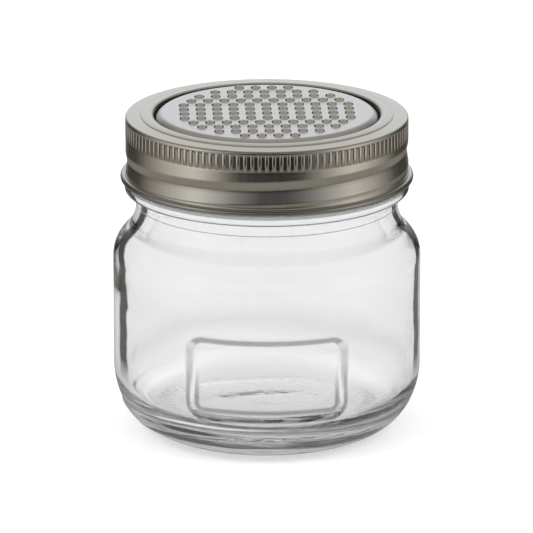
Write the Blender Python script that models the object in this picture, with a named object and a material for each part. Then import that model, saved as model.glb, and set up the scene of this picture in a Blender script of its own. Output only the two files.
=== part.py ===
# Small glass storage jar closed by a screw band and a raised grater disc.
# Metres, +Z up, the jar stands on Z = 0 with its label panel facing -Y.
import math

import bmesh
import bpy
from mathutils import Matrix

# glass jar, outside
JAR_RADIUS = 0.0393
HEEL_WIDTH = 0.0145
HEEL_HEIGHT = 0.0175
BEARING_WIDTH = 0.0043
PUSH_UP = 0.0012
WALL_TOP = 0.0456
SHOULDER_HEIGHT = 0.0136
WAIST_HEIGHT = 0.0004
COLLAR_STEP = 0.0032
WAIST_DEPTH = 0.0029
COLLAR_SLOPE = 0.0054
COLLAR_LAND = 0.0002
COLLAR_EDGE = 0.0003
NECK_RADIUS = 0.0331
RIM_ROUND = 0.0007

# glass jar, inside
JAR_WALL = 0.0027
BASE_THICKNESS = 0.0055
INNER_HEEL_WIDTH = 0.013
INNER_HEEL_HEIGHT = 0.013
NECK_WALL = 0.0029

# sunk label panel on the front
PANEL_WIDTH = 0.0429
PANEL_HEIGHT = 0.0219
PANEL_BOTTOM = 0.0122
PANEL_DEPTH = 0.001
PANEL_RAMP = 0.0014
PANEL_CORNER = 0.0035

# one-turn thread, a ridge on the glass and a rolled groove in the band
THREAD_LEAD = 0.00423
THREAD_DEPTH = 0.0022
THREAD_CREST = 0.0009
THREAD_BASE = 0.0022
THREAD_FADE = math.radians(30.0)
GROOVE_DEPTH = 0.0009
GROOVE_TIP = 0.0006
GROOVE_BASE = 0.0032
BULGE = 0.0003
BULGE_BAND = 0.004
BULGE_SLOPE = 0.0006

# screw band, rolled from sheet
BAND_SHEET = 0.0004
BAND_HEIGHT = 0.01685
BAND_CORNER = 0.0012
BEAD_RADIUS = 0.00087
BEAD_MARGIN = 0.0005
LIP_CLEARANCE = 0.00065
LIP_WIDTH = 0.0024
LIP_RISE = 0.0004
LIP_DIP = 0.0005

# grater disc, pressed from sheet
DISC_SHEET = 0.00045
DISC_TURN = math.radians(2.0)
PLATEAU_RADIUS = 0.0261
PLATEAU_RISE = 0.00165
PLATEAU_DOME = 0.0001
SHOULDER_WIDTH = 0.0015
SHOULDER_DROP = 0.0004
PLATEAU_SLOPE = 0.0005
TOOTH_HEIGHT = 0.00075
TOOTH_EDGE = 0.00045
TOOTH_FOOT = 0.0003
TOOTH_LENGTH = 0.0036
TOOTH_CREST = 0.0008
TOOTH_WIDTH = 0.0018
SLIT_WIDTH = 0.00045
SLIT_LENGTH = 0.0019
TOOTH_PITCH = 0.0042
ROW_PITCH = 0.00424
TOOTH_MARGIN = 0.0002
ROW_COUNT = 12
STAGGERED_ROWS = (0, 3, 8, 11)

# sealing ring
SEAL_THICKNESS = 0.001
SEAL_INSET = 0.0003
SEAL_ROUND = 0.0003

# clearances
SEAT_GAP = 0.0002
BAND_CLEARANCE = 0.0003
DISC_CLEARANCE = 0.0006

# facets round the axis
JAR_STEPS = 48
LID_STEPS = 60

# radii that follow from the fits
collarRadius = NECK_RADIUS + COLLAR_STEP
waistRadius = collarRadius - WAIST_DEPTH
mouthRadius = NECK_RADIUS - NECK_WALL
bandBore = NECK_RADIUS + THREAD_DEPTH + BAND_CLEARANCE
bandOuter = bandBore + BAND_SHEET
discRadius = bandBore - DISC_CLEARANCE
plateauFoot = PLATEAU_RADIUS + SHOULDER_WIDTH + PLATEAU_SLOPE
lipRadius = plateauFoot + LIP_CLEARANCE

# heights of the closed stack, from the table up
waistBottom = WALL_TOP + SHOULDER_HEIGHT
collarBottom = waistBottom + WAIST_HEIGHT
collarTop = collarBottom + COLLAR_SLOPE + COLLAR_LAND + COLLAR_EDGE
bandBottom = collarTop + SEAT_GAP
bandTop = bandBottom + BAND_HEIGHT
lipUnder = bandTop - LIP_DIP - BAND_SHEET
discTop = lipUnder - SEAT_GAP
sealTop = discTop - DISC_SHEET - SEAT_GAP
rimTop = sealTop - SEAL_THICKNESS - SEAT_GAP

# the groove keeps clear of the bead, the ridge runs midway between its turns
creaseAngle = math.acos(BAND_SHEET / BEAD_RADIUS - 1.0)
creaseHeight = BEAD_RADIUS * (1.0 + math.sin(creaseAngle))
grooveHeight = creaseHeight + BEAD_MARGIN + BULGE_BAND / 2 + THREAD_LEAD / 2
ridgeHeight = bandBottom + grooveHeight + THREAD_LEAD / 2


def linspace(start, stop, count):
    return [start + (stop - start) * i / (count - 1) for i in range(count)]


# points from one upright line to another along two equal arcs
def sweepCurve(r0, z0, r1, z1, count):
    turn = 2.0 * math.atan2(abs(r1 - r0), abs(z1 - z0))
    points = []
    for t in linspace(-1.0, 1.0, count):
        part = (1.0 - math.cos((1.0 - abs(t)) * turn)) / (1.0 - math.cos(turn)) / 2
        rise = math.sin((1.0 - abs(t)) * turn) / math.sin(turn) / 2
        share = part if t < 0 else 1.0 - part
        climb = rise if t < 0 else 1.0 - rise
        points.append((r0 + (r1 - r0) * share, z0 + (z1 - z0) * climb))
    return points


def arc(r, z, radius, start, stop, count):
    turns = [math.radians(a) for a in linspace(start, stop, count)]
    return [(r + radius * math.cos(a), z + radius * math.sin(a)) for a in turns]


# turn an outline of (radius, height) points about Z
def spun(points, steps, closed):
    bm = bmesh.new()
    verts = [bm.verts.new((r, 0.0, z)) for r, z in points]
    edges = [bm.edges.new(pair) for pair in zip(verts, verts[1:])]
    if closed:
        edges.append(bm.edges.new((verts[-1], verts[0])))
    bmesh.ops.spin(bm, geom=verts + edges, cent=(0, 0, 0), axis=(0, 0, 1), angle=2 * math.pi, steps=steps)
    bmesh.ops.remove_doubles(bm, verts=bm.verts, dist=0.000001)
    bmesh.ops.recalc_face_normals(bm, faces=bm.faces)
    return bm


# turn along the thread, from its start at the back round to its end there
def threadTurn(x, y):
    turn = math.atan2(y, x) - math.pi / 2
    return turn % (2 * math.pi) if turn < -0.000001 else max(turn, 0.0)


def threadFade(turn):
    t = min(turn, 2 * math.pi - turn, THREAD_FADE) / THREAD_FADE
    return t * t * (3.0 - 2.0 * t)


def pushOut(vert, amount):
    r = math.hypot(vert.co.x, vert.co.y)
    vert.co.x *= (r + amount) / r
    vert.co.y *= (r + amount) / r


def material(name, colour, roughness, metallic, transmission):
    mat = bpy.data.materials.new(name)
    mat.use_nodes = True
    shader = mat.node_tree.nodes["Principled BSDF"]
    shader.inputs["Base Color"].default_value = (*colour, 1.0)
    shader.inputs["Roughness"].default_value = roughness
    shader.inputs["Metallic"].default_value = metallic
    shader.inputs["Transmission Weight"].default_value = transmission
    mat.diffuse_color = (*colour, 1.0)
    return mat


def place(name, bm, height, mat):
    mesh = bpy.data.meshes.new(name)
    bm.to_mesh(mesh)
    bm.free()
    mesh.polygons.foreach_set("use_smooth", [True] * len(mesh.polygons))
    mesh.set_sharp_from_angle(angle=math.radians(38.0))
    mesh.materials.append(mat)
    obj = bpy.data.objects.new(name, mesh)
    obj.location = (0.0, 0.0, height)
    bpy.context.scene.collection.objects.link(obj)
    return obj


# outer radius of the glass below the shoulder
def bodyRadius(z):
    drop = max(0.0, 1.0 - z / HEEL_HEIGHT)
    return JAR_RADIUS - HEEL_WIDTH + HEEL_WIDTH * math.sqrt(1.0 - drop * drop)


# 0 outside the label panel, 1 on its floor
def panelMask(u, z):
    half = PANEL_HEIGHT / 2
    du = abs(u) - PANEL_WIDTH / 2 + PANEL_CORNER
    dz = abs(z - PANEL_BOTTOM - half) - half + PANEL_CORNER
    outside = math.hypot(max(du, 0.0), max(dz, 0.0)) + min(max(du, dz), 0.0) - PANEL_CORNER
    return min(max(-outside / PANEL_RAMP, 0.0), 1.0)


def jarOutline():
    bearing = JAR_RADIUS - HEEL_WIDTH - BEARING_WIDTH
    points = [(bearing * t, PUSH_UP * (1.0 - t * t)) for t in (0.0, 0.5, 0.8, 1.0)]
    panelTop = PANEL_BOTTOM + PANEL_HEIGHT
    rows = [HEEL_HEIGHT * (1.0 - math.cos(math.radians(a))) for a in (0, 14, 28, 42, 56, 74, 90)]
    rows += [PANEL_BOTTOM, PANEL_BOTTOM + PANEL_RAMP, PANEL_BOTTOM + PANEL_CORNER]
    rows += [panelTop - PANEL_CORNER, panelTop - PANEL_RAMP, panelTop]
    points += [(bodyRadius(z), z) for z in sorted(set(rows))]
    points += sweepCurve(JAR_RADIUS, WALL_TOP, waistRadius, waistBottom, 8)
    points += sweepCurve(waistRadius, collarBottom, collarRadius, collarBottom + COLLAR_SLOPE, 6)
    points.append((collarRadius, collarTop - COLLAR_EDGE))
    points.append((collarRadius - COLLAR_EDGE, collarTop))
    points.append((NECK_RADIUS, collarTop))
    for offset in (-THREAD_BASE, -THREAD_CREST, THREAD_CREST, THREAD_BASE):
        points.append((NECK_RADIUS, ridgeHeight + offset / 2))
    points += arc(NECK_RADIUS - RIM_ROUND, rimTop - RIM_ROUND, RIM_ROUND, 0, 90, 3)
    points += arc(mouthRadius + RIM_ROUND, rimTop - RIM_ROUND, RIM_ROUND, 90, 180, 3)
    inner = JAR_RADIUS - JAR_WALL
    points += sweepCurve(mouthRadius, waistBottom, inner, WALL_TOP, 8)
    foot = inner - INNER_HEEL_WIDTH
    for turn in (0, 18, 36, 54, 72, 90):
        across = INNER_HEEL_WIDTH * math.cos(math.radians(turn))
        up = INNER_HEEL_HEIGHT * (1.0 - math.sin(math.radians(turn)))
        points.append((foot + across, BASE_THICKNESS + up))
    points.append((0.0, BASE_THICKNESS))
    return points


# pull the facet lines beside the panel onto its corner, floor and outline
def panelAngle(turn):
    step = 2 * math.pi / JAR_STEPS
    outline = PANEL_WIDTH / 2 / JAR_RADIUS
    floor = outline - PANEL_RAMP / JAR_RADIUS
    corner = outline - PANEL_CORNER / JAR_RADIUS
    knots = [(0.0, 0.0), (3 * step, corner), (4 * step, floor), (5 * step, outline)]
    knots += [(math.pi / 2, math.pi / 2), (math.pi, math.pi)]
    for (a, b), (c, d) in zip(knots, knots[1:]):
        if abs(turn) <= c + 0.000001:
            return math.copysign(b + (d - b) * (abs(turn) - a) / (c - a), turn)
    return turn


def glassJar():
    bm = spun(jarOutline(), JAR_STEPS, False)
    for vert in bm.verts:
        r = math.hypot(vert.co.x, vert.co.y)
        if r < 0.000001:
            continue
        z = vert.co.z
        away = abs(z - ridgeHeight)
        if away <= THREAD_BASE / 2 + 0.000001 and abs(r - NECK_RADIUS) < 0.000001:
            turn = threadTurn(vert.co.x, vert.co.y)
            vert.co.z += THREAD_LEAD * (turn / (2 * math.pi) - 0.5)
            if away <= THREAD_CREST / 2 + 0.000001:
                pushOut(vert, THREAD_DEPTH * threadFade(turn))
        elif z < WALL_TOP:
            turn = panelAngle(math.atan2(vert.co.x, -vert.co.y))
            outside = abs(r - bodyRadius(z)) < 0.000001 and z > 0.000001
            if outside:
                r -= PANEL_DEPTH * panelMask(turn * JAR_RADIUS, z)
            vert.co.x = r * math.sin(turn)
            vert.co.y = -r * math.cos(turn)
    return bm


def bandOutline():
    top = BAND_HEIGHT
    crest = [(t, 1.0 - (2.0 * t - 1.0) ** 2) for t in linspace(0.0, 1.0, 6)]
    lip = [(lipRadius + LIP_WIDTH * t, LIP_RISE * up - LIP_DIP * (1.0 - t) ** 3) for t, up in crest]
    bulge = BULGE_BAND / 2
    skirt = [(0.0, bulge + BULGE_SLOPE), (BULGE, bulge), (BULGE, GROOVE_BASE / 2)]
    skirt += [(BULGE - GROOVE_DEPTH, GROOVE_TIP / 2), (BULGE - GROOVE_DEPTH, -GROOVE_TIP / 2)]
    skirt += [(BULGE, -GROOVE_BASE / 2), (BULGE, -bulge)]
    turned = math.degrees(creaseAngle)
    inside = BAND_CORNER - BAND_SHEET
    points = [(r, top + z) for r, z in lip]
    points += arc(bandOuter - BAND_CORNER, top - BAND_CORNER, BAND_CORNER, 90, 0, 3)
    points += [(bandOuter, grooveHeight + z) for r, z in skirt]
    points += arc(bandBore + BEAD_RADIUS, BEAD_RADIUS, BEAD_RADIUS, turned, -180, 9)
    points += [(bandBore, grooveHeight + z) for r, z in reversed(skirt)]
    points += arc(bandOuter - BAND_CORNER, top - BAND_CORNER, inside, 0, 90, 3)
    points += [(r, top - BAND_SHEET + z) for r, z in reversed(lip)]
    return points, skirt


def screwBand():
    points, skirt = bandOutline()
    bm = spun(points, LID_STEPS, True)
    reach = BULGE_BAND / 2 + BULGE_SLOPE
    for vert in bm.verts:
        away = vert.co.z - grooveHeight
        if -BULGE_BAND / 2 - 0.000001 <= away <= reach + 0.000001:
            turn = threadTurn(vert.co.x, vert.co.y)
            push = min(skirt, key=lambda row: abs(row[1] - away))[0]
            vert.co.z += THREAD_LEAD * (turn / (2 * math.pi) - 0.5)
            pushOut(vert, push * threadFade(turn))
    return bm


# places of the teeth that lie whole on the plateau
def toothPlaces():
    limit = PLATEAU_RADIUS - TOOTH_MARGIN
    places = []
    for row in range(ROW_COUNT):
        y = (row - (ROW_COUNT - 1) / 2) * ROW_PITCH
        shift = 0.5 if row in STAGGERED_ROWS else 0.0
        for column in range(-ROW_COUNT, ROW_COUNT + 1):
            x = (column + shift) * TOOTH_PITCH
            foot = math.hypot(x, abs(y) + TOOTH_LENGTH / 2)
            slit = math.hypot(abs(x) + TOOTH_WIDTH / 2 + SLIT_WIDTH, abs(y) + SLIT_LENGTH / 2)
            if max(foot, slit) <= limit:
                places.append((x, y))
    return places


# sheet with a pair of slits at each tooth and the strip between them arched up
def graterDisc():
    bm = bmesh.new()
    bmesh.ops.create_circle(bm, segments=LID_STEPS, radius=PLATEAU_RADIUS)
    rim = list(bm.edges)
    half, slit, end = TOOTH_WIDTH / 2, TOOTH_WIDTH / 2 + SLIT_WIDTH, SLIT_LENGTH / 2
    teeth = []
    for x, y in toothPlaces():
        tips, ends = [], []
        for side in (-1, 1):
            tips.append(bm.verts.new((x, y + side * TOOTH_LENGTH / 2, 0.0)))
            ends.append([bm.verts.new((x + dx, y + side * end, 0.0)) for dx in (-slit, -half, half, slit)])
        (a, b, c, d), (e, f, g, h) = ends
        loop = [tips[0], c, d, h, g, tips[1], f, e, a, b]
        for pair in zip(loop, loop[1:] + loop[:1]):
            bm.edges.new(pair)
        teeth.append((x, y, tips, (b, c), (f, g)))
    bmesh.ops.triangle_fill(bm, use_beauty=True, use_dissolve=False, edges=bm.edges)
    for x, y, tips, front, back in teeth:
        rows = []
        for dy in (-TOOTH_CREST / 2, TOOTH_CREST / 2):
            crest = [(-half, TOOTH_EDGE), (0.0, TOOTH_HEIGHT), (half, TOOTH_EDGE)]
            rows.append([bm.verts.new((x + dx, y + dy, z)) for dx, z in crest])
        for side, tip, pair in ((-1, tips[0], front), (1, tips[1], back)):
            middle = bm.verts.new((x, y + side * end, TOOTH_FOOT))
            bm.faces.new((tip, pair[0], middle))
            bm.faces.new((tip, middle, pair[1]))
            rows.insert(0 if side < 0 else len(rows), [pair[0], middle, pair[1]])
        for low, high in zip(rows, rows[1:]):
            for i in (0, 1):
                bm.faces.new((low[i], low[i + 1], high[i + 1], high[i]))
    for vert in bm.verts:
        r = math.hypot(vert.co.x, vert.co.y)
        vert.co.z += PLATEAU_RISE + PLATEAU_DOME * (1.0 - (r / PLATEAU_RADIUS) ** 2)
    shoulder = (PLATEAU_RADIUS + SHOULDER_WIDTH, PLATEAU_RISE - SHOULDER_DROP)
    for radius, height in (shoulder, (plateauFoot, 0.0), (discRadius, 0.0)):
        grown = bmesh.ops.extrude_edge_only(bm, edges=rim)["geom"]
        rim = [part for part in grown if isinstance(part, bmesh.types.BMEdge)]
        rim = [edge for edge in rim if edge.is_boundary]
        for vert in {vert for edge in rim for vert in edge.verts}:
            pushOut(vert, radius - math.hypot(vert.co.x, vert.co.y))
            vert.co.z = height
    bmesh.ops.recalc_face_normals(bm, faces=bm.faces)
    under = bmesh.ops.extrude_face_region(bm, geom=list(bm.faces), use_keep_orig=True)["geom"]
    verts = [part for part in under if isinstance(part, bmesh.types.BMVert)]
    bmesh.ops.translate(bm, verts=verts, vec=(0.0, 0.0, -DISC_SHEET))
    bmesh.ops.recalc_face_normals(bm, faces=bm.faces)
    bmesh.ops.rotate(bm, verts=bm.verts, cent=(0, 0, 0), matrix=Matrix.Rotation(DISC_TURN, 3, "Z"))
    return bm


def sealingRing():
    inner = mouthRadius + SEAL_INSET
    outer = NECK_RADIUS + SEAL_INSET
    low = SEAL_ROUND
    high = SEAL_THICKNESS - SEAL_ROUND
    points = arc(outer - SEAL_ROUND, high, SEAL_ROUND, 90, 0, 2)
    points += arc(outer - SEAL_ROUND, low, SEAL_ROUND, 0, -90, 2)
    points += arc(inner + SEAL_ROUND, low, SEAL_ROUND, -90, -180, 2)
    points += arc(inner + SEAL_ROUND, high, SEAL_ROUND, 180, 90, 2)
    return spun(points, JAR_STEPS, True)


for old in list(bpy.data.objects):
    bpy.data.objects.remove(old, do_unlink=True)

glass = material("clear_glass", (0.93, 0.96, 0.94), 0.02, 0.0, 1.0)
tinned = material("tinned_steel", (0.6, 0.58, 0.55), 0.34, 1.0, 0.0)
stainless = material("stainless_steel", (0.78, 0.77, 0.75), 0.28, 1.0, 0.0)
silicone = material("white_silicone", (0.86, 0.85, 0.82), 0.55, 0.0, 0.0)

place("glass_jar", glassJar(), 0.0, glass)
place("sealing_ring", sealingRing(), sealTop - SEAL_THICKNESS, silicone)
place("grater_disc", graterDisc(), discTop, stainless)
place("screw_band", screwBand(), bandBottom, tinned)
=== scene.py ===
import bpy
import math
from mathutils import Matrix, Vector


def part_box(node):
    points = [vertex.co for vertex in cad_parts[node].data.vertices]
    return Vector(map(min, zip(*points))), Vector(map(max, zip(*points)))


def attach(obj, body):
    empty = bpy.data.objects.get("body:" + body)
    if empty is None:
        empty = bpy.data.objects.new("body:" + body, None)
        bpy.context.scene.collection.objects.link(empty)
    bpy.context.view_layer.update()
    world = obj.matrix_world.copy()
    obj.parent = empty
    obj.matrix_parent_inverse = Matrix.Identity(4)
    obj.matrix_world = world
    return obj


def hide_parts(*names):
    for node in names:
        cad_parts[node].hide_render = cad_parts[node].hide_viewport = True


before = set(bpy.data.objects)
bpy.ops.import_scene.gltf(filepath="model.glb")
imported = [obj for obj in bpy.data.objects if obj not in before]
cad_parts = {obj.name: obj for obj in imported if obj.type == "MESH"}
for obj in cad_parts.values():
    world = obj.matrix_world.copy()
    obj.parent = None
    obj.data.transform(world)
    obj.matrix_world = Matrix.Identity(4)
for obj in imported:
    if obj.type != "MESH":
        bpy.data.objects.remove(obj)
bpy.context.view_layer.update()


def objectMode():
    if bpy.context.object and bpy.context.object.mode != "OBJECT":
        bpy.ops.object.mode_set(mode="OBJECT")


def deselectAll():
    objectMode()
    bpy.ops.object.select_all(action="DESELECT")


def makeActive(piece):
    deselectAll()
    piece.select_set(True)
    bpy.context.view_layer.objects.active = piece


def smoothStep(t):
    t = min(max(t, 0.0), 1.0)
    return t * t * (3.0 - 2.0 * t)


def spread(start, stop, count):
    return [start + (stop - start) * i / (count - 1) for i in range(count)]


def arc(r, z, radius, start, stop, count):
    turns = [math.radians(a) for a in spread(start, stop, count)]
    return [(r + radius * math.cos(a), z + radius * math.sin(a)) for a in turns]


def sweepCurve(r0, z0, r1, z1, count):  # two equal arcs between upright ends
    turn = 2.0 * math.atan2(abs(r1 - r0), abs(z1 - z0))
    points = []
    for t in spread(-1.0, 1.0, count):
        across = (1.0 - math.cos((1.0 - abs(t)) * turn)) / (1.0 - math.cos(turn)) / 2
        climb = math.sin((1.0 - abs(t)) * turn) / math.sin(turn) / 2
        if t > 0:
            across, climb = 1.0 - across, 1.0 - climb
        points.append((r0 + (r1 - r0) * across, z0 + (z1 - z0) * climb))
    return points


def drawOutline(name, points, closed=False):  # one point, extruded along the outline
    deselectAll()
    bpy.ops.mesh.primitive_plane_add(size=0.01, location=(0, 0, 0))
    piece = bpy.context.object
    piece.name = piece.data.name = name
    bpy.ops.object.mode_set(mode="EDIT")
    bpy.ops.mesh.select_mode(type="VERT")
    bpy.ops.mesh.select_all(action="SELECT")
    bpy.ops.mesh.merge(type="CENTER")
    bpy.ops.transform.translate(value=(points[0][0], 0, points[0][1]))
    for (r0, z0), (r1, z1) in zip(points, points[1:]):
        if math.hypot(r1 - r0, z1 - z0) > 0.000001:
            bpy.ops.mesh.extrude_vertices_move(TRANSFORM_OT_translate={"value": (r1 - r0, 0, z1 - z0)})
    if closed:
        r0, z0 = points[-1]
        r1, z1 = points[0]
        bpy.ops.mesh.extrude_vertices_move(TRANSFORM_OT_translate={"value": (r1 - r0, 0, z1 - z0)})
    return piece


def spinRound(piece, steps):
    bpy.ops.mesh.select_all(action="SELECT")
    bpy.ops.mesh.spin(steps=steps, angle=2 * math.pi, center=(0, 0, 0), axis=(0, 0, 1))
    bpy.ops.mesh.select_all(action="SELECT")
    bpy.ops.mesh.remove_doubles(threshold=0.000002)
    bpy.ops.mesh.normals_make_consistent(inside=False)
    bpy.ops.object.mode_set(mode="OBJECT")


def cutFaces(piece, test):
    bpy.ops.object.mode_set(mode="EDIT")
    bpy.ops.mesh.select_mode(type="FACE")
    bpy.ops.mesh.select_all(action="DESELECT")
    bpy.ops.object.mode_set(mode="OBJECT")
    for face in piece.data.polygons:
        face.select = test(face.center)
    bpy.ops.object.mode_set(mode="EDIT")
    bpy.ops.mesh.delete(type="FACE")
    bpy.ops.object.mode_set(mode="OBJECT")


def applyModifier(piece, kind, **settings):
    makeActive(piece)
    modifier = piece.modifiers.new(kind.title(), kind)
    for key, value in settings.items():
        setattr(modifier, key, value)
    bpy.ops.object.modifier_apply(modifier=modifier.name)


def pressBy(piece, name, depth, weightAt):  # painted weights, pushed along the normals
    group = piece.vertex_groups.new(name=name)
    for vert in piece.data.vertices:
        weight = weightAt(vert.co)
        if weight > 0.0005:
            group.add([vert.index], weight, "REPLACE")
    applyModifier(piece, "DISPLACE", strength=depth, mid_level=0.0, direction="NORMAL", vertex_group=name)
    piece.vertex_groups.remove(piece.vertex_groups[name])


def smoothPiece(piece, angle):
    makeActive(piece)
    bpy.ops.object.shade_smooth_by_angle(angle=math.radians(angle))


def helixTurn(co):  # 0 at the back, once round to 1
    turn = (math.atan2(co.y, co.x) - math.pi / 2) / (2 * math.pi)
    return turn % 1.0


def helixFade(turn, fade):
    return smoothStep(min(turn, 1.0 - turn) / fade)


class Val:
    def __init__(self, tree, out=None):
        self.tree = tree
        self.out = out

    def node(self, kind, settings=None, values=None, pick=0):
        made = self.tree.nodes.new(kind)
        for key, value in (settings or {}).items():
            if key == "stops":
                while len(made.color_ramp.elements) < len(value):
                    made.color_ramp.elements.new(0.5)
                for element, (place, colour) in zip(made.color_ramp.elements, value):
                    element.position = place
                    element.color = (*colour, 1.0)
            else:
                setattr(made, key, value)
        for key, value in (values or {}).items():
            if isinstance(value, Val):
                self.tree.links.new(value.out, made.inputs[key])
            else:
                made.inputs[key].default_value = value
        return Val(self.tree, made.outputs[pick])

    def math(self, operation, a, b=0.0):
        return self.node("ShaderNodeMath", {"operation": operation}, {0: a, 1: b})

    def __add__(self, other):
        return self.math("ADD", self, other)

    def __radd__(self, other):
        return self.math("ADD", other, self)

    def __sub__(self, other):
        return self.math("SUBTRACT", self, other)

    def __rsub__(self, other):
        return self.math("SUBTRACT", other, self)

    def __mul__(self, other):
        return self.math("MULTIPLY", self, other)

    def __rmul__(self, other):
        return self.math("MULTIPLY", other, self)

    def __truediv__(self, other):
        return self.math("DIVIDE", self, other)


def newMaterial(name):
    mat = bpy.data.materials.new(name)
    mat.use_nodes = True
    tree = mat.node_tree
    tree.nodes.clear()
    return mat, Val(tree)


def noise(v, coords, scale, detail):
    return v.node("ShaderNodeTexNoise", {}, {"Vector": coords, "Scale": scale, "Detail": detail}, "Fac")


def stretched(v, coords, scale):
    return v.node("ShaderNodeMapping", {}, {"Vector": coords, "Scale": scale})


def between(v, value, low, high):  # 0 below low, 1 above high
    return v.node("ShaderNodeMapRange", {"interpolation_type": "SMOOTHSTEP"},
                  {"Value": value, "From Min": low, "From Max": high, "To Min": 0.0, "To Max": 1.0})


def within(v, value, rise, fall):  # fades in over rise and out over fall
    return between(v, value, *rise) * (1.0 - between(v, value, *fall))


def blendColours(v, factor, a, b):
    return v.node("ShaderNodeMix", {"data_type": "RGBA"}, {0: factor, 6: a, 7: b}, 2)


def finishMaterial(v, shader, volume=None):
    out = v.tree.nodes.new("ShaderNodeOutputMaterial")
    v.tree.links.new(shader.out, out.inputs["Surface"])
    if volume:
        v.tree.links.new(volume.out, out.inputs["Volume"])


# heights where lid and jar meet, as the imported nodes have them
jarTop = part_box("glass_jar")[1][2]
bandLow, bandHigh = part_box("screw_band")[0][2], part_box("screw_band")[1][2]
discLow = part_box("grater_disc")[0][2]
sealLow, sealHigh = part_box("sealing_ring")[0][2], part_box("sealing_ring")[1][2]

thread = {"lead": 0.00423, "fade": 0.085, "ridgeDepth": 0.0022, "ridgeCrest": 0.0009, "ridgeBase": 0.0022,
          "grooveHeight": 0.0062176}

jar = {"radius": 0.0393, "heelWide": 0.0145, "heelHigh": 0.0175, "bearing": 0.0236, "pushUp": 0.0009,
       "wallTop": 0.0456, "shoulder": 0.0136, "waist": 0.0334, "collar": 0.0363, "collarLow": 0.0621,
       "collarHigh": 0.0638, "collarTop": 0.0655, "neck": 0.0331, "mouth": 0.0302, "rimRound": 0.0009,
       "wall": 0.0023, "floor": 0.0068, "innerHeel": 0.0098, "uneven": 0.0007, "steps": 432}

panel = {"width": 0.0429, "height": 0.0219, "bottom": 0.0122, "depth": 0.001, "rampHigh": 0.0014,
         "rampLow": 0.003, "corner": 0.0045, "upperLine": ((-0.0019, -0.0013), (-0.0003, 0.0003)),
         "innerLine": ((-0.0036, -0.0029), (-0.0024, -0.0018)),
         "outerLine": ((-0.0013, -0.0008), (-0.0004, 0.0002)), "lineBlend": (0.0165, 0.027)}


def panelWeight(co):
    r = math.hypot(co.x, co.y)
    if co.y > 0 or r < 0.0345 or co.z > 0.04 or co.z < 0.008 or r < jarSkin(co.z) - 0.0004:
        return 0.0
    half = panel["height"] / 2
    du = abs(math.atan2(co.x, -co.y) * jar["radius"]) - panel["width"] / 2 + panel["corner"]
    dz = abs(co.z - panel["bottom"] - half) - half + panel["corner"]
    out = math.hypot(max(du, 0), max(dz, 0)) + min(max(du, dz), 0) - panel["corner"]
    share = min(max((co.z - panel["bottom"]) / panel["height"], 0.0), 1.0)
    ramp = panel["rampLow"] + (panel["rampHigh"] - panel["rampLow"]) * share
    return smoothStep(-out / ramp)


def jarSkin(z):
    drop = max(0.0, 1.0 - z / jar["heelHigh"])
    return jar["radius"] - jar["heelWide"] + jar["heelWide"] * math.sqrt(max(0.0, 1.0 - drop * drop))


def unevenWeight(co):  # moulded glass is thicker in places, mostly to the left
    r = math.hypot(co.x, co.y)
    inner = jar["radius"] - jar["wall"]
    if r > inner + 0.0002 or r < 0.008 or co.z < 0.004 or co.z > 0.06:
        return 0.0
    turn = math.atan2(co.y, co.x)
    swell = math.sin(3 * turn + 1.1 + 60 * co.z) * 0.16 + math.sin(7 * turn - 0.6 - 150 * co.z) * 0.07
    swell += math.sin(420 * co.z + 2 * turn) * 0.05 + 0.3 - 0.42 * co.x / jar["radius"]
    fade = smoothStep((jar["wallTop"] - co.z) / 0.012) * smoothStep((r - 0.008) / 0.012)
    return min(max(swell, 0.0), 1.0) * fade


def ridgeWeight(co):
    r = math.hypot(co.x, co.y)
    if abs(r - jar["neck"]) > 0.0001 or co.z < jar["collarTop"] + 0.0008:
        return 0.0
    turn = helixTurn(co)
    middle = bandLow + thread["grooveHeight"] + thread["lead"] * turn
    away = abs(co.z - middle)
    slope = (thread["ridgeBase"] - thread["ridgeCrest"]) / 2
    return smoothStep((thread["ridgeBase"] / 2 - away) / slope) * helixFade(turn, thread["fade"])


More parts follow.
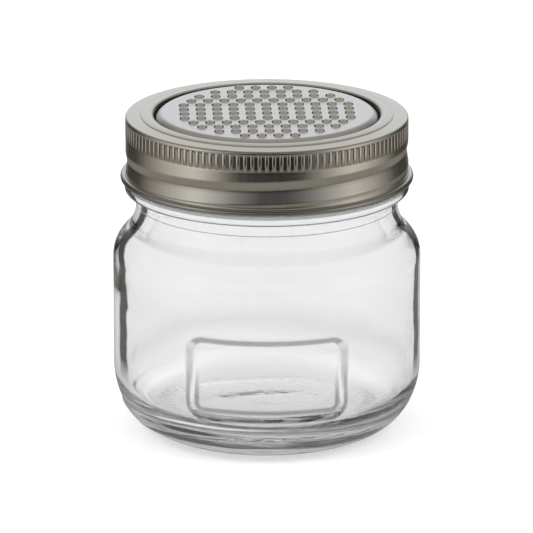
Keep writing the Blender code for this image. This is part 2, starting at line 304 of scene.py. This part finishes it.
def makeJar():
    j = jar
    points = [(j["bearing"] * t, j["pushUp"] * (1 - t * t) ** 1.2) for t in spread(0, 1, 9)]
    rows = [j["heelHigh"] * (1 - math.cos(math.radians(a))) for a in spread(0, 70, 22)]
    rows += spread(0.0119, 0.0151, 11) + spread(0.0159, 0.0306, 15) + spread(0.0312, 0.0346, 9)
    rows += spread(0.0362, j["wallTop"] - 0.001, 5)
    points += [(jarSkin(z), z) for z in rows]
    shoulderTop = j["wallTop"] + j["shoulder"]
    points += sweepCurve(j["radius"], j["wallTop"], j["waist"], shoulderTop, 21)
    points += sweepCurve(j["waist"], j["collarLow"], j["collar"], j["collarHigh"], 13)
    points += arc(j["collar"] - 0.0004, j["collarTop"] - 0.0004, 0.0004, 20, 90, 4)
    points += arc(j["neck"] + 0.0004, j["collarTop"] + 0.0004, 0.0004, 270, 180, 4)
    points += [(j["neck"], z) for z in spread(j["collarTop"] + 0.0009, jarTop - j["rimRound"] - 0.0004, 30)]
    points += arc(j["neck"] - j["rimRound"], jarTop - j["rimRound"], j["rimRound"], 0, 90, 5)
    points += arc(j["mouth"] + j["rimRound"], jarTop - j["rimRound"], j["rimRound"], 90, 180, 5)
    points += [(j["mouth"], z) for z in spread(jarTop - 0.003, shoulderTop + 0.001, 4)]
    inner = j["radius"] - j["wall"]
    points += sweepCurve(j["mouth"], shoulderTop, inner, j["wallTop"], 17)
    low = j["floor"] + j["innerHeel"]
    points += [(inner, z) for z in spread(j["wallTop"] - 0.002, low + 0.001, 13)]
    for turn in spread(0, 90, 16):
        across = j["innerHeel"] * math.cos(math.radians(turn))
        points.append((inner - j["innerHeel"] + across, low - j["innerHeel"] * math.sin(math.radians(turn))))
    points += [((inner - j["innerHeel"]) * t, j["floor"]) for t in (0.85, 0.6, 0.35, 0.15, 0)]
    piece = drawOutline("jar_glass", points)
    spinRound(piece, j["steps"])
    pressBy(piece, "panel", -panel["depth"], panelWeight)
    pressBy(piece, "uneven", j["uneven"], unevenWeight)
    pressBy(piece, "ridge", thread["ridgeDepth"], ridgeWeight)
    smoothPiece(piece, 60)
    return piece


band = {"bore": 0.0356, "sheet": 0.0004, "corner": 0.00055, "bead": 0.00087, "lip": 0.02875,
        "lipWide": 0.0012, "lipDip": 0.00085, "steps": 240,
        "ring": ((0.0, 0.0), (0.0021, 0.00021), (0.00232, 0.00037), (0.00255, 0.00038), (0.0055, 0.00058)),
        "grooveLead": 0.006, "grooveHigh": 0.0063, "grooveUnit": 0.001,
        "groove": ((-0.0042, 0.0), (-0.0032, 0.00008), (-0.0004, -0.00036), (0.0, -0.00042),
                   (0.0003, -0.0004), (0.0023, -0.00002), (0.0026, 0.0)),
        "ribs": 124, "ribLow": 0.0116, "ribHigh": 0.01545, "ribDeep": 0.0006, "ribWide": 0.00106,
        "ribSunk": 0.0002, "ribRound": 0.00028}


def grooveOffset(co):  # rolled thread: down-facing flank, narrow bottom, then the wide lower flank
    if math.hypot(co.x, co.y) < band["bore"] - 0.0005:
        return 0.0
    away = co.z - bandLow - band["grooveHigh"] - band["grooveLead"] * (helixTurn(co) - 0.5)
    shape = band["groove"]
    if away <= shape[0][0] or away >= shape[-1][0]:
        return 0.0
    for (low, a), (high, b) in zip(shape, shape[1:]):
        if away <= high:
            offset = a + (b - a) * (away - low) / (high - low)
            break
    return offset * helixFade(helixTurn(co), thread["fade"]) * smoothStep((co.z - bandLow - 0.0017) / 0.0007)


def sinkWeight(co):
    return -grooveOffset(co) / band["grooveUnit"]


def bulgeWeight(co):
    if math.hypot(co.x, co.y) > band["bore"] + band["sheet"] - 0.00002:
        return grooveOffset(co) / band["grooveUnit"]
    return 0.0


def knurlWeight(co):
    if math.hypot(co.x, co.y) < band["bore"] - 0.0005:
        return 0.0
    z = co.z - bandLow
    return smoothStep((z - band["ribLow"]) / 0.0014 + 0.5) * smoothStep((band["ribHigh"] - z) / 0.0005 + 0.5)


def makeBand():
    b = band
    outer = b["bore"] + b["sheet"]
    crest, stop = b["lip"] + b["lipWide"], outer - b["corner"]
    points = [(crest - b["lipWide"] * math.cos(a), bandHigh - b["lipDip"] * (1 - math.sin(a)))
              for a in spread(0, math.pi / 2, 10)]  # rolled inner edge
    for (r0, z0), (r1, z1) in zip(b["ring"], b["ring"][1:]):  # falls gently, creased beside the roll
        points += [(crest + r0 + (r1 - r0) * t, bandHigh - z0 - (z1 - z0) * t) for t in (0.34, 0.67, 1.0)]
    top = bandHigh - b["ring"][-1][1]
    points += arc(stop, top - b["corner"], b["corner"], 84, 0, 10)
    crease = math.acos(b["sheet"] / b["bead"] - 1.0)
    creaseHigh = bandLow + b["bead"] * (1.0 + math.sin(crease))
    points += [(outer, z) for z in spread(top - b["corner"] - 0.0001, creaseHigh + 0.0003, 80)]
    points += arc(b["bore"] + b["bead"], bandLow + b["bead"], b["bead"], math.degrees(crease) - 6, -170, 20)
    piece = drawOutline("band_metal", points)
    spinRound(piece, b["steps"])
    pressBy(piece, "knurl", -b["ribSunk"], knurlWeight)
    pressBy(piece, "groove_in", -b["grooveUnit"], sinkWeight)
    pressBy(piece, "groove_out", b["grooveUnit"], bulgeWeight)
    applyModifier(piece, "SOLIDIFY", thickness=b["sheet"], offset=-1.0)
    deselectAll()  # one land of the knurl, level with the skirt, between two dents
    bpy.ops.mesh.primitive_cube_add(size=1, location=(0, 0, 0))
    rib = bpy.context.object
    rib.name = rib.data.name = "band_knurl"
    high = b["ribHigh"] - b["ribLow"] + 0.0007
    bpy.ops.object.mode_set(mode="EDIT")
    bpy.ops.mesh.select_all(action="SELECT")
    bpy.ops.transform.resize(value=(b["ribDeep"], b["ribWide"], high))
    bpy.ops.mesh.bevel(offset=b["ribRound"], segments=2, affect="EDGES")
    bpy.ops.mesh.select_all(action="SELECT")
    middle = bandLow + (b["ribLow"] + b["ribHigh"]) / 2
    bpy.ops.transform.translate(value=(outer + 0.00001 - b["ribDeep"] / 2, 0, middle))
    last = 2 * math.pi * (b["ribs"] - 1) / b["ribs"]
    bpy.ops.mesh.spin(steps=b["ribs"] - 1, dupli=True, angle=last, center=(0, 0, 0), axis=(0, 0, 1))
    bpy.ops.object.mode_set(mode="OBJECT")
    makeActive(piece)
    rib.select_set(True)
    bpy.ops.object.join()
    smoothPiece(piece, 50)
    return piece


disc = {"sheet": 0.00045, "radius": 0.035, "plateau": 0.0261, "rise": 0.00165, "dome": 0.0001, "turn": 2.0,
        "cone": 0.0026,
        "side": ((0.0004, 0.00002), (0.0007, 0.00006), (0.001, 0.0002), (0.0014, 0.00045), (0.0019, 0.00085),
                 (0.0023, 0.00125), (0.0026, 0.00165)),
        "pitch": 0.0042, "rowPitch": 0.00424, "rows": 12,
        "staggered": (0, 3, 8, 11), "cellsWide": 20, "cellsLong": 14}

tooth = {"half": 0.00084, "slit": 0.00042, "slitLong": 0.0018, "long": 0.0042, "high": 0.000745, "crown": 0.3,
         "ridge": 0.00025}


def toothPlaces():
    places = []
    for row in range(disc["rows"]):
        y = (row - (disc["rows"] - 1) / 2) * disc["rowPitch"]
        for column in range(-8, 9):
            x = (column + (0.5 if row in disc["staggered"] else 0.0)) * disc["pitch"]
            foot = math.hypot(x, abs(y) + 0.0018)
            slit = math.hypot(abs(x) + tooth["half"] + tooth["slit"], abs(y) + tooth["slitLong"] / 2)
            if max(foot, slit) <= disc["plateau"] - 0.0002:
                places.append((x, y))
    return places


def nearestTooth(places, x, y):  # offset from the tooth of this cell of the pattern
    row = round(y / disc["rowPitch"] + (disc["rows"] - 1) / 2)
    shift = 0.5 if row in disc["staggered"] else 0.0
    column = round(x / disc["pitch"] - shift)
    key = (row, round((column + shift) * 2))
    return (x - places[key][0], y - places[key][1]) if key in places else None


def toothWeight(near):  # tent with a rounded ridge, lower at the two slits
    if not near:
        return 0.0
    dx, dy = near
    ridge = tooth["ridge"]
    away = (math.hypot(dy, ridge) - ridge) / (math.hypot(tooth["long"] / 2, ridge) - ridge)
    along = max(0.0, 1.0 - away)
    edge = 1.0 - tooth["crown"]
    if abs(dx) <= tooth["half"] + 0.00001:
        return along * (1.0 - tooth["crown"] * (dx / tooth["half"]) ** 2)
    return along * edge * max(0.0, 1.0 - (abs(dx) - tooth["half"]) / tooth["slit"])


def inSlit(near):
    if not near:
        return False
    return 0 < abs(near[0]) - tooth["half"] < tooth["slit"] and abs(near[1]) < tooth["slitLong"] / 2


def ringOut(piece, radius, height):  # extrude the outer edge loop to a new ring
    bpy.ops.mesh.extrude_edges_move(TRANSFORM_OT_translate={"value": (0, 0, 0)})
    objectMode()
    for vert in piece.data.vertices:
        if vert.select:
            r = math.hypot(vert.co.x, vert.co.y)
            vert.co = (vert.co.x * radius / r, vert.co.y * radius / r, height)
    bpy.ops.object.mode_set(mode="EDIT")


def makeGrater():
    d = disc
    cell = (d["pitch"] / d["cellsWide"], d["rowPitch"] / d["cellsLong"])
    half = [int(d["plateau"] / size) + 2 for size in cell]
    places = {}
    for x, y in toothPlaces():
        row = round(y / d["rowPitch"] + (d["rows"] - 1) / 2)
        places[(row, round(x / d["pitch"] * 2))] = (x, y)
    deselectAll()
    wide, deep = 2 * half[0], 2 * half[1]
    bpy.ops.mesh.primitive_grid_add(x_subdivisions=wide, y_subdivisions=deep, size=1, location=(0, 0, 0))
    piece = bpy.context.object
    piece.name = piece.data.name = "grater_sheet"
    bpy.ops.object.mode_set(mode="EDIT")
    bpy.ops.mesh.select_all(action="SELECT")
    bpy.ops.transform.resize(value=(wide * cell[0], deep * cell[1], 1))
    objectMode()
    cutFaces(piece, lambda co: math.hypot(co.x, co.y) > d["plateau"] - 0.00025)
    bpy.ops.object.mode_set(mode="EDIT")
    bpy.ops.mesh.select_mode(type="EDGE")
    bpy.ops.mesh.select_all(action="DESELECT")
    bpy.ops.mesh.select_non_manifold(extend=False, use_wire=False, use_boundary=True, use_multi_face=False,
                                     use_non_contiguous=False, use_verts=False)
    objectMode()
    for vert in piece.data.vertices:  # the stepped edge is pulled to a circle
        r = math.hypot(vert.co.x, vert.co.y)
        if vert.select:
            vert.co = (vert.co.x * d["plateau"] / r, vert.co.y * d["plateau"] / r, 0)
        vert.co.z += d["rise"] + d["dome"] * (1 - min(r / d["plateau"], 1.0) ** 2)
    bpy.ops.object.mode_set(mode="EDIT")
    for out, fall in d["side"]:  # the side slopes down under the lip of the band
        ringOut(piece, d["plateau"] + out, d["rise"] - fall)
    for r in (d["plateau"] + d["cone"] + 0.0006, d["radius"]):
        ringOut(piece, r, 0)
    bpy.ops.mesh.select_all(action="SELECT")
    bpy.ops.mesh.normals_make_consistent(inside=False)
    objectMode()
    if piece.data.polygons[0].normal.z < 0:
        bpy.ops.object.mode_set(mode="EDIT")
        bpy.ops.mesh.flip_normals()
        objectMode()
    cutFaces(piece, lambda co: inSlit(nearestTooth(places, co.x, co.y)))
    pressBy(piece, "teeth", tooth["high"], lambda co: toothWeight(nearestTooth(places, co.x, co.y)))
    applyModifier(piece, "SOLIDIFY", thickness=d["sheet"], offset=-1.0)
    piece.location.z = discLow + d["sheet"]
    piece.rotation_euler.z = math.radians(d["turn"])
    makeActive(piece)
    bpy.ops.object.transform_apply(location=True, rotation=True, scale=True)
    smoothPiece(piece, 38)
    return piece


seal = {"inner": 0.0305, "outer": 0.0334, "round": 0.0003, "steps": 180}


def makeSeal():
    s = seal
    points = arc(s["outer"] - s["round"], sealHigh - s["round"], s["round"], 90, 0, 5)
    points += arc(s["outer"] - s["round"], sealLow + s["round"], s["round"], 0, -90, 5)
    points += arc(s["inner"] + s["round"], sealLow + s["round"], s["round"], -90, -180, 5)
    points += arc(s["inner"] + s["round"], sealHigh - s["round"], s["round"], 180, 90, 5)
    piece = drawOutline("seal_ring", points, closed=True)
    spinRound(piece, s["steps"])
    smoothPiece(piece, 40)
    return piece


def panelRim(v, x, y, z):  # painted dark lines along the slope round the sunk panel, for dark surroundings bent in at its edges, and how much of it is an upright side
    half, corner = panel["height"] / 2, panel["corner"]
    across = v.math("ABSOLUTE", v.math("ARCTAN2", x, y * -1.0)) * jar["radius"]
    across = across - (panel["width"] / 2 - corner)
    along = v.math("ABSOLUTE", z - (panel["bottom"] + half)) - (half - corner)
    a, b = v.math("MAXIMUM", across, 0.0), v.math("MAXIMUM", along, 0.0)
    out = v.math("SQRT", a * a + b * b) + v.math("MINIMUM", v.math("MAXIMUM", across, along), 0.0) - corner
    upper = within(v, out, *panel["upperLine"])
    lower = within(v, out, *panel["innerLine"]) + within(v, out, *panel["outerLine"])
    rim = lower + (upper - lower) * between(v, z, *panel["lineBlend"])
    return rim, between(v, across - along, -0.001, 0.001)


glass = {"clear": (0.985, 0.987, 0.99, 1), "edgeShade": (0.01, 0.0105, 0.012, 1), "thick": (0.72, 0.72, 0.72, 1),
         "line": (0.2, 0.2, 0.205, 1), "body": (0.86, 0.864, 0.87, 1), "density": 36.0, "ior": 1.52,
         "bump": 0.12, "bumpDeep": 0.0005, "spokes": 180.0, "spokeDeep": 0.9, "rippleDeep": 2.4,
         "ring": ((0.0245, 0.0252), (0.0288, 0.0295)), "ringTop": (0.002, 0.0025), "rippleTop": (0.007, 0.01),
         "seamHigh": 0.0597, "seamSkin": (0.0328, 0.0332),
         "beadShade": ((0.0645, 0.0649), (0.066, 0.0665)), "collarSkin": (0.0355, 0.0358),
         "edgeShadeBand": ((0.652, 0.68), (0.775, 0.825)), "edgeLean": 1.46, "edgeWaver": 0.1,
         "shoulderTop": 0.0592, "shoulderIn": 0.0062, "wallSkin": (0.0379, 0.0384),
         "heel": ((0.003, 0.009), (0.014, 0.022)), "dullTop": (0.004, 0.009), "dullRough": 0.16,
         "rimSkin": (0.0376, 0.0379), "sideFade": (0.02, 0.03), "sideLess": 0.6}


def glassMaterial():
    g = glass
    mat, v = newMaterial("clear_glass")
    coords = v.node("ShaderNodeTexCoord", pick="Object")
    x, y, z = (v.node("ShaderNodeSeparateXYZ", {}, {0: coords}, i) for i in range(3))
    r = v.math("SQRT", x * x + y * y)
    wave = noise(v, stretched(v, coords, (1, 1, 0.45)), 60, 1.0)
    fine = noise(v, coords, 900, 2.0)
    spokes = v.math("SINE", v.math("ARCTAN2", y, x) * g["spokes"])  # stippled ring under the base
    ring = within(v, r, *g["ring"]) * (1.0 - between(v, z, *g["ringTop"]))
    ripple = noise(v, stretched(v, coords, (1, 2, 1)), 95, 3.0) * (1.0 - between(v, z, *g["rippleTop"]))
    height = wave + spokes * ring * g["spokeDeep"] + ripple * g["rippleDeep"]
    bump = v.node("ShaderNodeBump", {}, {"Strength": g["bump"], "Distance": g["bumpDeep"], "Height": height})
    smear = between(v, noise(v, coords, 55, 3.0), 0.55, 0.8)
    facing = v.node("ShaderNodeLayerWeight", {}, {"Blend": 0.5}, "Facing")
    waver = noise(v, stretched(v, coords, (20, 20, 160)), 1.0, 3.0) - 0.5
    edge = facing - x * g["edgeLean"] + waver * g["edgeWaver"]  # painted shade: a dark band where the wall is seen edge-on, for dark surroundings bent into it, wider to the left
    edge = within(v, edge, *g["edgeShadeBand"])
    inward = between(v, z, jar["wallTop"], g["shoulderTop"]) * g["shoulderIn"]
    edge = edge * between(v, r + inward, *g["wallSkin"])
    tint = blendColours(v, edge, g["clear"], g["edgeShade"])
    skin = r - v.math("MINIMUM", z + 0.0257, 0.0378)
    outside = between(v, skin, -0.0004, 0.0004)
    heel = within(v, z, *g["heel"]) * outside
    dull = (1.0 - between(v, z, *g["dullTop"])) * outside  # moulded skin under the heel
    tint = blendColours(v, heel, tint, g["thick"])  # thick glass is greyer, and painted shade greys the heel for the shaded table seen through it
    rim, side = panelRim(v, x, y, z)
    # painted shade: dark lines on the glass at the panel's slope
    rim = rim * between(v, r, *g["rimSkin"])
    rim = rim * (1.0 - side * between(v, z, *g["sideFade"]) * g["sideLess"])
    # the mould seam round the shoulder, shown as a painted dark line for the light it bends
    seam = 1.0 - between(v, v.math("ABSOLUTE", z - g["seamHigh"]), 0.00005, 0.0002)
    seam = seam * between(v, r, *g["seamSkin"])
    shade = within(v, z, *g["beadShade"]) * between(v, r, *g["collarSkin"])  # glass dark under the bead
    lines = v.math("MAXIMUM", rim, v.math("MAXIMUM", seam, shade))
    tint = blendColours(v, lines, tint, g["line"])
    rough = smear * 0.02 + fine * 0.004 + dull * g["dullRough"]
    shader = v.node("ShaderNodeBsdfPrincipled", {},
                    {"Base Color": tint, "IOR": g["ior"], "Transmission Weight": 1.0, "Roughness": rough,
                     "Normal": bump})
    volume = v.node("ShaderNodeVolumeAbsorption", {}, {"Color": g["body"], "Density": g["density"]})
    finishMaterial(v, shader, volume)
    return mat


tin = {"dark": (0.58, 0.56, 0.505, 1), "light": (0.72, 0.70, 0.65, 1), "spot": (0.46, 0.43, 0.37, 1),
       "shade": (0.07, 0.065, 0.06, 1), "dull": (0.16, 0.15, 0.13, 1), "spotShare": 0.2, "insideShare": 0.55,
       "dentShare": 0.62, "beadShare": 0.45, "bump": 0.14, "bumpDeep": 0.00004, "rough": 0.17}


def bandMaterial():
    mat, v = newMaterial("tinned_band")
    coords = v.node("ShaderNodeTexCoord", pick="Object")
    x, y, z = (v.node("ShaderNodeSeparateXYZ", {}, {0: coords}, i) for i in range(3))
    r = v.math("SQRT", x * x + y * y)
    turn = v.math("ARCTAN2", y, x)
    rings = noise(v, v.node("ShaderNodeCombineXYZ", {}, {0: r * 3800.0, 1: turn * 2.0}), 1.0, 3.0)
    upright = v.node("ShaderNodeCombineXYZ", {}, {0: x * 1500.0, 1: y * 1500.0, 2: z * 60.0})
    streaks = noise(v, upright, 1.0, 3.0)
    top = between(v, z, bandHigh - 0.0012, bandHigh - 0.0006)
    lines = streaks + top * (rings - streaks)
    cloud = noise(v, coords, 120, 4.0)
    spots = between(v, noise(v, coords, 900, 3.0), 0.62, 0.75)
    colour = blendColours(v, cloud * 0.6 + lines * 0.4, tin["dark"], tin["light"])
    colour = blendColours(v, spots * tin["spotShare"], colour, tin["spot"])
    # painted shade: the band's inside and the rolled lip are darkened where shade falls
    inside = 1.0 - between(v, r, band["bore"] - 0.0002, band["bore"] + 0.00015)
    inside = inside * (1.0 - between(v, z, bandHigh - 0.0017, bandHigh - 0.0015))
    roll = 1.0 - between(v, z, bandHigh - 0.00045, bandHigh - 0.0001)
    roll = roll * (1.0 - between(v, r, 0.0293, 0.0297))
    colour = blendColours(v, v.math("MAXIMUM", inside * tin["insideShare"], roll), colour, tin["shade"])
    outer = band["bore"] + band["sheet"]
    ribLow, ribHigh = bandLow + band["ribLow"], bandLow + band["ribHigh"]
    dent = within(v, z, (ribLow - 0.0005, ribLow), (ribHigh, ribHigh + 0.0004))
    dent = dent * between(v, r, band["bore"], band["bore"] + 0.00008)
    dent = dent * (1.0 - between(v, r, outer - 0.00012, outer - 0.00001))
    bead = 1.0 - between(v, z, bandLow + 0.0015, bandLow + 0.0018)
    dentAndBeadShade = v.math("MAXIMUM", dent * tin["dentShare"], bead * tin["beadShare"])
    colour = blendColours(v, dentAndBeadShade, colour, tin["dull"])  # painted shade: darker in the knurl's dents and on the bead below its crease
    bump = v.node("ShaderNodeBump", {}, {"Strength": tin["bump"], "Distance": tin["bumpDeep"],
                                         "Height": lines + cloud})
    rough = cloud * 0.08 + lines * 0.06 + tin["rough"]
    shader = v.node("ShaderNodeBsdfPrincipled", {},
                    {"Base Color": colour, "Metallic": 1.0, "Roughness": rough, "Normal": bump})
    finishMaterial(v, shader)
    return mat


steel = {"dark": (0.70, 0.69, 0.68, 1), "light": (0.78, 0.775, 0.77, 1), "gapShade": (0.03, 0.028, 0.026, 1),
         "sunkShare": 0.4, "bump": 0.1, "bumpDeep": 0.00004, "rough": 0.2}


def graterMaterial():
    mat, v = newMaterial("stainless_grater")
    coords = v.node("ShaderNodeTexCoord", pick="Object")
    x, y, z = (v.node("ShaderNodeSeparateXYZ", {}, {0: coords}, i) for i in range(3))
    r = v.math("SQRT", x * x + y * y)
    grain = noise(v, stretched(v, coords, (120, 4200, 900)), 1.0, 3.0)
    cloud = noise(v, coords, 150, 3.0)
    colour = blendColours(v, cloud, steel["dark"], steel["light"])
    face = discLow + disc["sheet"] + disc["rise"]
    wall = between(v, z, face - disc["sheet"] + 0.00002, face - disc["sheet"] + 0.00006)
    wall = wall * (1.0 - between(v, z, face - 0.00012, face - 0.00004))
    wall = wall * (1.0 - between(v, r, disc["plateau"] - 0.0003, disc["plateau"]))
    deep = between(v, r, disc["plateau"] + disc["cone"] - 0.0008, disc["plateau"] + disc["cone"] - 0.0003)
    sunk = v.math("MAXIMUM", wall, deep * steel["sunkShare"])
    colour = blendColours(v, sunk, colour, steel["gapShade"])  # painted shade in the slits and on the sunk rim under the band's lip
    bump = v.node("ShaderNodeBump", {}, {"Strength": steel["bump"], "Distance": steel["bumpDeep"],
                                         "Height": grain})
    rough = grain * 0.1 + cloud * 0.06 + steel["rough"]
    shader = v.node("ShaderNodeBsdfPrincipled", {},
                    {"Base Color": colour, "Metallic": 1.0, "Roughness": rough, "Normal": bump})
    finishMaterial(v, shader)
    return mat


def sealMaterial():
    mat, v = newMaterial("white_silicone")
    coords = v.node("ShaderNodeTexCoord", pick="Object")
    cloud = noise(v, coords, 200, 3.0)
    speck = noise(v, coords, 2500, 2.0)
    colour = blendColours(v, cloud, (0.80, 0.79, 0.76, 1), (0.88, 0.87, 0.85, 1))
    bump = v.node("ShaderNodeBump", {}, {"Strength": 0.15, "Distance": 0.00005, "Height": speck})
    shader = v.node("ShaderNodeBsdfPrincipled", {},
                    {"Base Color": colour, "Roughness": speck * 0.15 + 0.45, "Normal": bump})
    finishMaterial(v, shader)
    return mat


def settle(piece, mat, body, node):
    piece.data.materials.clear()
    piece.data.materials.append(mat)
    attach(piece, body)
    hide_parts(node)
    print(piece.name, len(piece.data.polygons), "faces")


settle(makeJar(), glassMaterial(), "jar", "glass_jar")
settle(makeSeal(), sealMaterial(), "grater", "sealing_ring")
settle(makeGrater(), graterMaterial(), "grater", "grater_disc")
settle(makeBand(), bandMaterial(), "band", "screw_band")

stage = {"floorSize": 4.0, "floorTone": 0.72, "cameraGlow": 0.45,
         "floorThrough": ((0.0, 0.58), (0.3, 0.62), (0.36, 0.56), (0.42, 0.5), (0.47, 0.5), (0.6, 0.38),
                          (0.9, 0.12)),
         "skyBack": (0.36, 0.335, 0.30), "skyFront": (0.05, 0.047, 0.043), "skyPlain": (0.8, 0.8, 0.8),
         "skyThrough": 0.95, "skyTint": (0.93, 0.965, 1.0), "skyAhead": (0.55, 0.55, 0.54),
         "skyRound": ((0.0, 0.95), (0.03, 0.9), (0.09, 0.1), (0.16, 0.1), (0.34, 0.95), (0.48, 0.05),
                      (0.54, 0.05), (0.7, 0.75), (0.85, 0.1), (0.91, 0.1), (0.97, 0.9), (1.0, 0.95)),
         "tableTint": (1.0, 0.935, 0.85), "tableNear": (0.29, 0.272, 0.24),
         "tableRound": ((0.0, 0.9), (0.08, 0.05), (0.16, 0.05), (0.34, 0.95), (0.43, 0.05), (0.45, 0.0),
                        (0.57, 0.0), (0.69, 0.9), (0.84, 0.05), (0.92, 0.05), (1.0, 0.9)),
         "lamps": (("softbox_left", (-0.9, -0.7, 1.1), 8.0), ("softbox_right", (0.9, -0.6, 1.1), 6.0)),
         "lampAim": (0, 0, 0.04), "lampSize": 0.7, "bounces": 28}


def tones(stops, tint=(1.0, 1.0, 1.0)):
    return [(place, tuple(tone * part for part in tint)) for place, tone in stops]


def makeFloor():
    deselectAll()
    bpy.ops.mesh.primitive_plane_add(size=stage["floorSize"], location=(0, 0, -0.00005))
    floor = bpy.context.object
    floor.name = "floor"
    mat, v = newMaterial("pale_floor")
    rays = v.tree.nodes.new("ShaderNodeLightPath")
    glow = Val(v.tree, rays.outputs["Is Camera Ray"]) * stage["cameraGlow"]
    coords = v.node("ShaderNodeTexCoord", pick="Object")
    reach = v.node("ShaderNodeVectorMath", {"operation": "LENGTH"}, {0: coords}, "Value")
    # painted light on the floor, seen only through the glass: brightest under the jar, dimming further out
    through = v.node("ShaderNodeValToRGB", {"stops": tones(stage["floorThrough"])}, {"Fac": reach * 10.0})
    through = v.node("ShaderNodeSeparateXYZ", {}, {0: through})
    glow = glow + Val(v.tree, rays.outputs["Is Transmission Ray"]) * through
    tone = stage["floorTone"]
    plain = v.node("ShaderNodeBsdfDiffuse", {}, {"Color": (tone, tone, tone, 1)})
    shine = v.node("ShaderNodeEmission", {}, {"Color": (1, 1, 1, 1), "Strength": glow})
    finishMaterial(v, v.node("ShaderNodeAddShader", {}, {0: plain, 1: shine}))
    floor.data.materials.append(mat)


def makeTable():  # what the metal sees of the table: dark in front, light at the back and two sides
    deselectAll()
    bpy.ops.mesh.primitive_plane_add(size=stage["floorSize"], location=(0, 0, -0.00003))
    table = bpy.context.object
    table.name = "table_card"
    mat, v = newMaterial("table_card")
    coords = v.node("ShaderNodeTexCoord", pick="Object")
    x, y = (v.node("ShaderNodeSeparateXYZ", {}, {0: coords}, i) for i in range(2))
    turn = v.math("ARCTAN2", x, y * -1.0) / (2 * math.pi) + 0.5
    stops = tones(stage["tableRound"], stage["tableTint"])
    far = v.node("ShaderNodeValToRGB", {"stops": stops}, {"Fac": turn})
    reach = v.math("SQRT", x * x + y * y)
    tone = blendColours(v, between(v, reach, 0.18, 0.27), (*stage["tableNear"], 1), far)
    finishMaterial(v, v.node("ShaderNodeEmission", {}, {"Color": tone, "Strength": 1.0}))
    table.data.materials.append(mat)
    table.visible_camera = False
    table.visible_diffuse = False
    table.visible_shadow = False
    table.visible_transmission = False


def makeWorld():
    world = bpy.data.worlds.new("studio")
    bpy.context.scene.world = world
    world.use_nodes = True
    tree = world.node_tree
    tree.nodes.clear()
    v = Val(tree)
    coords = v.node("ShaderNodeTexCoord", pick="Generated")
    x, y, up = (v.node("ShaderNodeSeparateXYZ", {}, {0: coords}, i) for i in range(3))
    turn = v.math("ARCTAN2", x, y * -1.0) / (2 * math.pi) + 0.5
    stops = tones(stage["skyRound"], stage["skyTint"])
    around = v.node("ShaderNodeValToRGB", {"stops": stops}, {"Fac": turn})
    high = blendColours(v, between(v, y, -0.75, 0.15), (*stage["skyFront"], 1), (*stage["skyBack"], 1))
    aside = between(v, v.math("ABSOLUTE", x), 0.25, 0.65)
    high = blendColours(v, aside * 0.2, high, (0, 0, 0, 1))
    low = between(v, up, 0.04, 0.22)
    around = blendColours(v, low, blendColours(v, 0.88, (0, 0, 0, 1), around), around)
    ahead = between(v, y, -0.7, -0.9) * between(v, up, 0.14, 0.2) * (1.0 - between(v, up, 0.3, 0.5))
    around = blendColours(v, ahead, around, (*stage["skyAhead"], 1))
    sky = blendColours(v, between(v, up, 0.27, 0.64), around, high)
    rays = tree.nodes.new("ShaderNodeLightPath")
    sky = blendColours(v, Val(tree, rays.outputs["Is Glossy Ray"]), (*stage["skyPlain"], 1), sky)
    dim = stage["skyThrough"]
    colour = blendColours(v, Val(tree, rays.outputs["Is Transmission Ray"]), sky, (dim, dim, dim, 1))
    colour = blendColours(v, Val(tree, rays.outputs["Is Camera Ray"]), colour, (1, 1, 1, 1))
    shine = v.node("ShaderNodeBackground", {}, {"Color": colour, "Strength": 1.0})
    out = tree.nodes.new("ShaderNodeOutputWorld")
    tree.links.new(shine.out, out.inputs["Surface"])


def addLamp(name, place, power):
    deselectAll()
    bpy.ops.object.light_add(type="AREA", location=place)
    lamp = bpy.context.object
    lamp.name = name
    lamp.data.size = stage["lampSize"]
    lamp.data.energy = power
    lamp.visible_glossy = False
    lamp.visible_transmission = False
    lamp.rotation_euler = (Vector(stage["lampAim"]) - Vector(place)).to_track_quat("-Z", "Y").to_euler()


view = {"azimuth": 0.0, "elevation": 16.6, "distance": 1.5, "target": (-0.0001, 0, 0.04204), "lens": 395.73}


def addCamera():
    turn, rise = math.radians(view["azimuth"]), math.radians(view["elevation"])
    away = Vector((math.sin(turn) * math.cos(rise), -math.cos(turn) * math.cos(rise), math.sin(rise)))
    place = Vector(view["target"]) + away * view["distance"]
    deselectAll()
    bpy.ops.object.camera_add(location=place)
    camera = bpy.context.object
    camera.rotation_euler = (-away).to_track_quat("-Z", "Y").to_euler()
    camera.data.lens = view["lens"]
    camera.data.sensor_width = 36.0
    camera.data.clip_end = 20.0
    bpy.context.scene.camera = camera


makeFloor()
makeTable()
makeWorld()
for lamp in stage["lamps"]:
    addLamp(*lamp)
addCamera()
bpy.context.scene.view_settings.view_transform = "Standard"
for key in ("max_bounces", "glossy_bounces", "transmission_bounces"):  # light runs far inside the thick heel
    setattr(bpy.context.scene.cycles, key, stage["bounces"])
print("stage, lamps and camera set")
